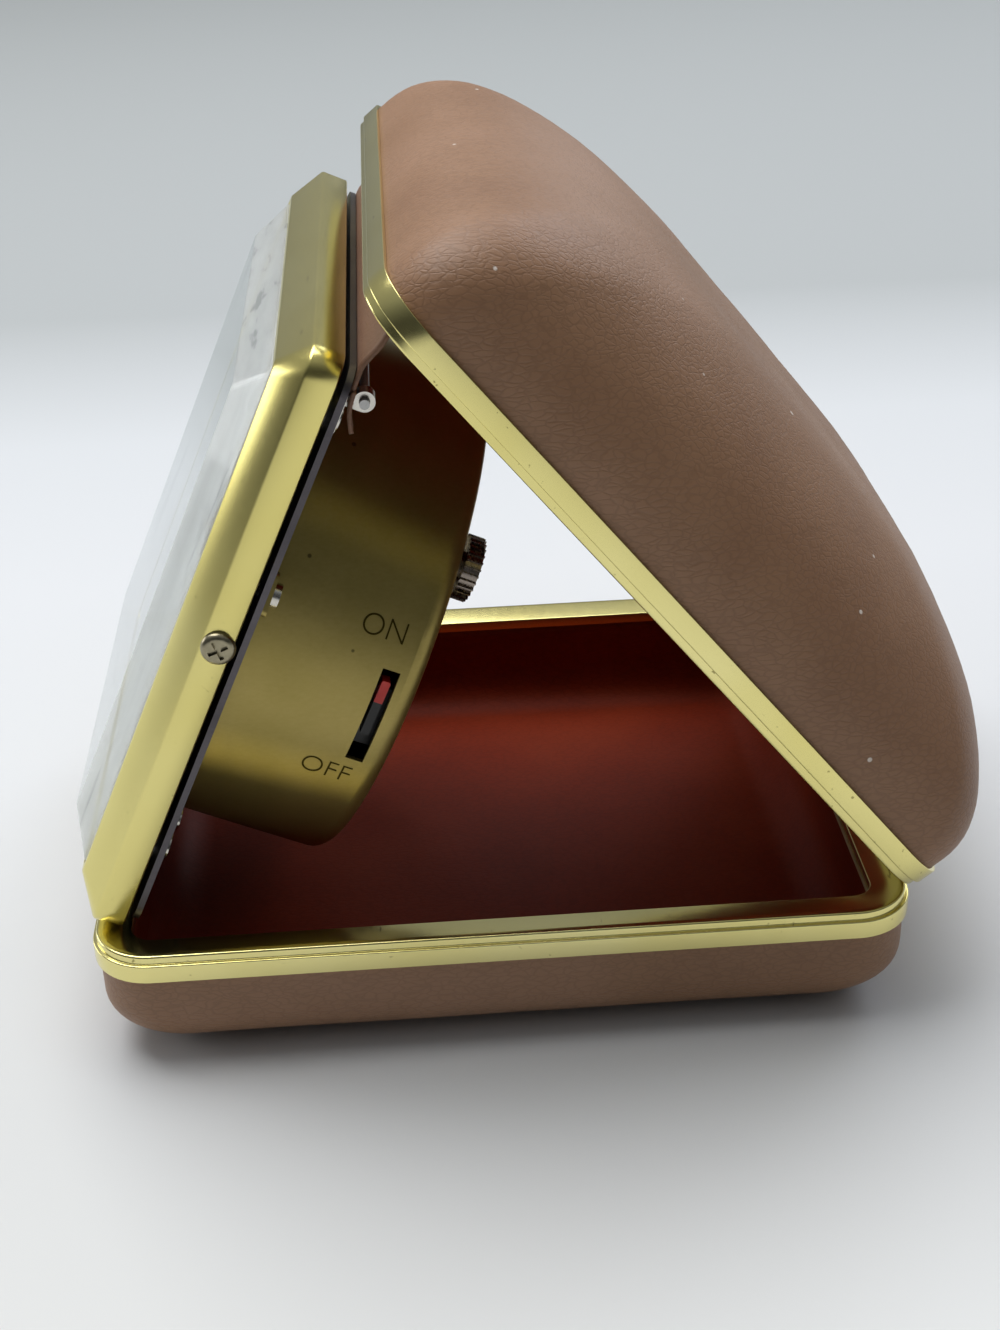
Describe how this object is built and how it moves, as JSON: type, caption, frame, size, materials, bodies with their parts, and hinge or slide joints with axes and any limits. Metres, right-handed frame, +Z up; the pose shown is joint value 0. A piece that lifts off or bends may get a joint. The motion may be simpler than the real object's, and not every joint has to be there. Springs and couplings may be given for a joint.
{
  "type": "folding travel alarm clock",
  "caption": "Folding travel alarm clock: padded leatherette case with gilt rims, its lid leaning open, and a square clock hanging from the lid on a web.",
  "frame": {"origin": "centre of the case outline on the underside of the base tray", "axes": "+Z up, X along the case hinge, -Y the side that the dial faces"},
  "size_m": [0.0706, 0.0881, 0.0803],
  "materials": {
    "leatherette": "grained, semi-gloss",
    "lining": "smooth, semi-gloss",
    "web": "grained",
    "board": "raw",
    "gilt": "polished",
    "hinge_brass": "satin",
    "steel": "drawn",
    "spring_steel": "blued",
    "nickel": "polished",
    "plate_grey": "satin",
    "mount_metal": "satin",
    "can_bronze": "lacquered",
    "crystal_acrylic": "clear",
    "dial_silver": "silvered",
    "hand_metal": "lacquered",
    "plate_brass": "brushed",
    "wheel_brass": "brushed",
    "knob_nickel": "tarnished",
    "switch_black": "matte",
    "switch_red": "satin"
  },
  "bodies": {
    "base": {"base_cover": "leatherette", "base_shell": "board", "base_lining": "lining", "base_rim": "gilt", "base_hinge_leaf": "hinge_brass", "base_hinge_rivets": "hinge_brass", "case_hinge_pin": "steel"},
    "lid": {"lid_cover": "leatherette", "lid_shell": "board", "lid_lining": "lining", "lid_rim": "gilt", "lid_hinge_leaf": "hinge_brass", "lid_hinge_rivets": "hinge_brass", "hinge_strap": "web", "strap_batten": "hinge_brass"},
    "clock": {"bezel_frame": "gilt", "bezel_screws": "nickel", "crystal": "crystal_acrylic", "dial": "dial_silver", "mount_plate": "mount_metal", "back_plate": "plate_grey", "back_plate_screws": "nickel", "strap_wire": "steel", "strap_clips": "steel", "movement_can": "can_bronze", "can_screws": "nickel", "front_plate": "plate_brass", "rear_plate": "plate_brass", "plate_pillars": "plate_brass", "pillar_screws": "nickel"},
    "centre": {"centre_wheel": "wheel_brass", "cannon_pinion": "wheel_brass", "minute_hand": "hand_metal", "time_set_knob": "knob_nickel"},
    "minute_work": {"minute_wheel": "wheel_brass"},
    "hour": {"hour_wheel": "wheel_brass", "hour_hand": "hand_metal"},
    "going_barrel": {"mainspring_barrel": "wheel_brass", "mainspring": "spring_steel"},
    "winding": {"barrel_arbor": "steel", "ratchet_wheel": "wheel_brass", "time_winding_key": "knob_nickel"},
    "pawl": {"click": "steel"},
    "third": {"third_wheel": "wheel_brass"},
    "escape": {"escape_wheel": "wheel_brass"},
    "lever": {"pallet_lever": "steel"},
    "balance": {"balance_wheel": "wheel_brass", "hairspring": "spring_steel"},
    "alarm": {"alarm_wheel": "wheel_brass", "alarm_hand": "hand_metal"},
    "alarm_setting": {"alarm_set_knob": "knob_nickel"},
    "alarm_drum": {"alarm_barrel": "wheel_brass", "alarm_spring": "spring_steel", "alarm_winding_key": "knob_nickel"},
    "hammer": {"alarm_hammer": "steel"},
    "switch": {"alarm_switch": "switch_black", "switch_tip": "switch_red"}
  },
  "joints": [
    {"name": "lid_hinge", "type": "hinge", "parent": "base", "child": "lid", "pos_m": [0, 0.0398, 0.0136], "axis": [-1, 0, 0], "range_deg": [0, 85]},
    {"name": "clock_hinge", "type": "hinge", "parent": "lid", "child": "clock", "pos_m": [0, -0.00888, 0.07107], "axis": [1, 0, 0], "range_deg": [0, 61], "deforming": ["hinge_strap"]},
    {"name": "time_setting", "type": "hinge", "parent": "clock", "child": "centre", "pos_m": [0, -0.01715, 0.03816], "axis": [0, 0.9114, -0.4115], "continuous": true},
    {"name": "minute_work_turn", "type": "hinge", "parent": "clock", "child": "minute_work", "pos_m": [-0.00752, -0.01828, 0.03567], "axis": [0, 0.9114, -0.4115], "continuous": true},
    {"name": "hour_turn", "type": "hinge", "parent": "clock", "child": "hour", "pos_m": [0, -0.01715, 0.03816], "axis": [0, 0.9114, -0.4115], "continuous": true},
    {"name": "going_barrel_turn", "type": "hinge", "parent": "clock", "child": "going_barrel", "pos_m": [-0.00819, -0.01951, 0.03293], "axis": [0, 0.9114, -0.4115], "continuous": true},
    {"name": "third_turn", "type": "hinge", "parent": "clock", "child": "third", "pos_m": [0.00465, -0.01384, 0.0455], "axis": [0, 0.9114, -0.4115], "continuous": true},
    {"name": "escape_turn", "type": "hinge", "parent": "clock", "child": "escape", "pos_m": [0.01294, -0.01508, 0.04275], "axis": [0, 0.9114, -0.4115], "continuous": true},
    {"name": "lever_rock", "type": "hinge", "parent": "clock", "child": "lever", "pos_m": [0.01447, -0.01742, 0.03756], "axis": [0, 0.9114, -0.4115], "range_deg": [-5, 5]},
    {"name": "balance_swing", "type": "hinge", "parent": "clock", "child": "balance", "pos_m": [0.01315, -0.0205, 0.03074], "axis": [0, 0.9114, -0.4115], "range_deg": [-135, 135], "stiffness_Nm_per_rad": 0.000002},
    {"name": "winding_turn", "type": "hinge", "parent": "clock", "child": "winding", "pos_m": [-0.00819, -0.01951, 0.03293], "axis": [0, 0.9114, -0.4115], "continuous": true},
    {"name": "pawl_lift", "type": "hinge", "parent": "clock", "child": "pawl", "pos_m": [-0.01045, -0.02206, 0.02728], "axis": [0, 0.9114, -0.4115], "range_deg": [-20, 0]},
    {"name": "alarm_setting_turn", "type": "hinge", "parent": "clock", "child": "alarm_setting", "pos_m": [0.01651, -0.01257, 0.04831], "axis": [0, 0.9114, -0.4115], "continuous": true},
    {"name": "alarm_turn", "type": "hinge", "parent": "clock", "child": "alarm", "pos_m": [0, -0.01715, 0.03816], "axis": [0, 0.9114, -0.4115], "continuous": true},
    {"name": "alarm_winding_turn", "type": "hinge", "parent": "clock", "child": "alarm_drum", "pos_m": [0.0035, -0.02423, 0.02249], "axis": [0, 0.9114, -0.4115], "continuous": true},
    {"name": "hammer_swing", "type": "hinge", "parent": "clock", "child": "hammer", "pos_m": [-0.016, -0.01551, 0.04181], "axis": [0, 0.9114, -0.4115], "range_deg": [-8, 8]},
    {"name": "alarm_switch_slide", "type": "slide", "parent": "clock", "child": "switch", "axis": [0, -0.4115, -0.9114], "range_m": [0, 0.0025]}
  ],
  "couplings": [
    {"joint": "minute_work_turn", "follows": "time_setting", "ratio": -0.33333},
    {"joint": "hour_turn", "follows": "time_setting", "ratio": 0.083333},
    {"joint": "going_barrel_turn", "follows": "time_setting", "ratio": -0.25},
    {"joint": "third_turn", "follows": "time_setting", "ratio": -6.75},
    {"joint": "escape_turn", "follows": "time_setting", "ratio": 54},
    {"joint": "alarm_turn", "follows": "alarm_setting_turn", "ratio": -0.17647}
  ]
}
